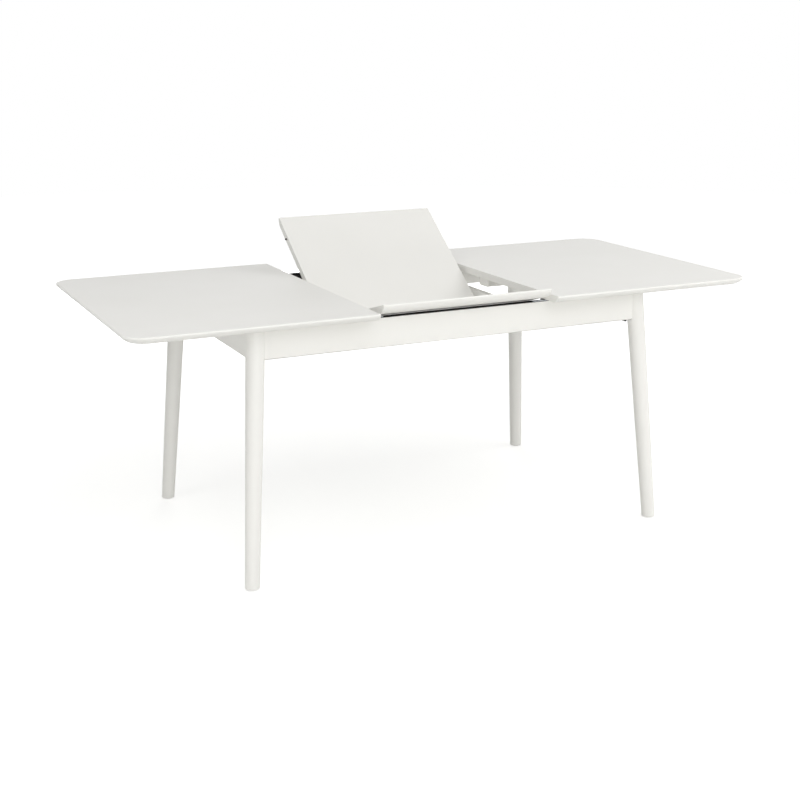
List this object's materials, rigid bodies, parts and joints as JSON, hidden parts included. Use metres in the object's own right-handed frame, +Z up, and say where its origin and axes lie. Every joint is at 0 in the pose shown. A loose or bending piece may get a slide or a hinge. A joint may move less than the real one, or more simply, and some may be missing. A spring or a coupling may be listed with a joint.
{
  "type": "butterfly leaf table",
  "caption": "Extending dining table on round splayed legs, its top drawn apart on slides with a folding butterfly leaf standing half open in the gap.",
  "frame": {"origin": "floor level, under the middle of the table", "axes": "+X along the table to the right end, +Y from the front apron to the rear apron, +Z up"},
  "size_m": [1.972, 0.913, 0.9118],
  "materials": {
    "white_lacquer": "satin lacquer",
    "black_steel": "black powder coat",
    "zinc_steel": "zinc plated",
    "brass": "turned",
    "dark_dowel": "moulded",
    "nylon": "moulded"
  },
  "bodies": {
    "frame": {"corner_bracket_front_left": "black_steel", "corner_bracket_front_right": "black_steel", "corner_bracket_rear_left": "black_steel", "corner_bracket_rear_right": "black_steel", "foot_glide_front_left": "nylon", "foot_glide_front_right": "nylon", "foot_glide_rear_left": "nylon", "foot_glide_rear_right": "nylon", "front_apron": "white_lacquer", "front_slide_ledger": "white_lacquer", "front_slide_rail": "black_steel", "left_apron": "white_lacquer", "left_cross_rail": "white_lacquer", "leg_bolts": "zinc_steel", "leg_front_left": "white_lacquer", "leg_front_right": "white_lacquer", "leg_nuts": "zinc_steel", "leg_rear_left": "white_lacquer", "leg_rear_right": "white_lacquer", "pivot_pin_left": "zinc_steel", "pivot_pin_right": "zinc_steel", "pivot_plate_left": "zinc_steel", "pivot_plate_right": "zinc_steel", "rear_apron": "white_lacquer", "rear_slide_ledger": "white_lacquer", "rear_slide_rail": "black_steel", "right_apron": "white_lacquer", "right_cross_rail": "white_lacquer"},
    "left_half_top": {"left_batten": "white_lacquer", "left_runner_front": "zinc_steel", "left_runner_rear": "zinc_steel", "left_top": "white_lacquer"},
    "right_half_top": {"right_batten": "white_lacquer", "right_runner_front": "zinc_steel", "right_runner_rear": "zinc_steel", "right_top": "white_lacquer"},
    "leaf_rear_half": {"fold_hinges_rear": "brass", "leaf_rear": "white_lacquer", "leaf_rear_dowels": "dark_dowel", "pivot_arm_left": "zinc_steel", "pivot_arm_right": "zinc_steel"},
    "leaf_front_half": {"fold_hinges_front": "brass", "leaf_front": "white_lacquer", "leaf_front_dowels": "dark_dowel"}
  },
  "joints": [
    {"name": "left_top_slide", "type": "slide", "parent": "frame", "child": "left_half_top", "axis": [1, 0, 0], "range_m": [0, 0.0147]},
    {"name": "right_top_slide", "type": "slide", "parent": "frame", "child": "right_half_top", "axis": [-1, 0, 0], "range_m": [0, 0.0147]},
    {"name": "leaf_pivot", "type": "hinge", "parent": "frame", "child": "leaf_rear_half", "pos_m": [0, 0.16001, 0.69103], "axis": [1, 0, 0], "range_deg": [-36, 86]},
    {"name": "leaf_fold", "type": "hinge", "parent": "leaf_rear_half", "child": "leaf_front_half", "pos_m": [0, -0.0041, 0.64469], "axis": [1, 0, 0], "range_deg": [-125.2, 52.5]}
  ],
  "couplings": [
    {"joint": "leaf_fold", "follows": "leaf_pivot", "ratio": -1.4528}
  ]
}
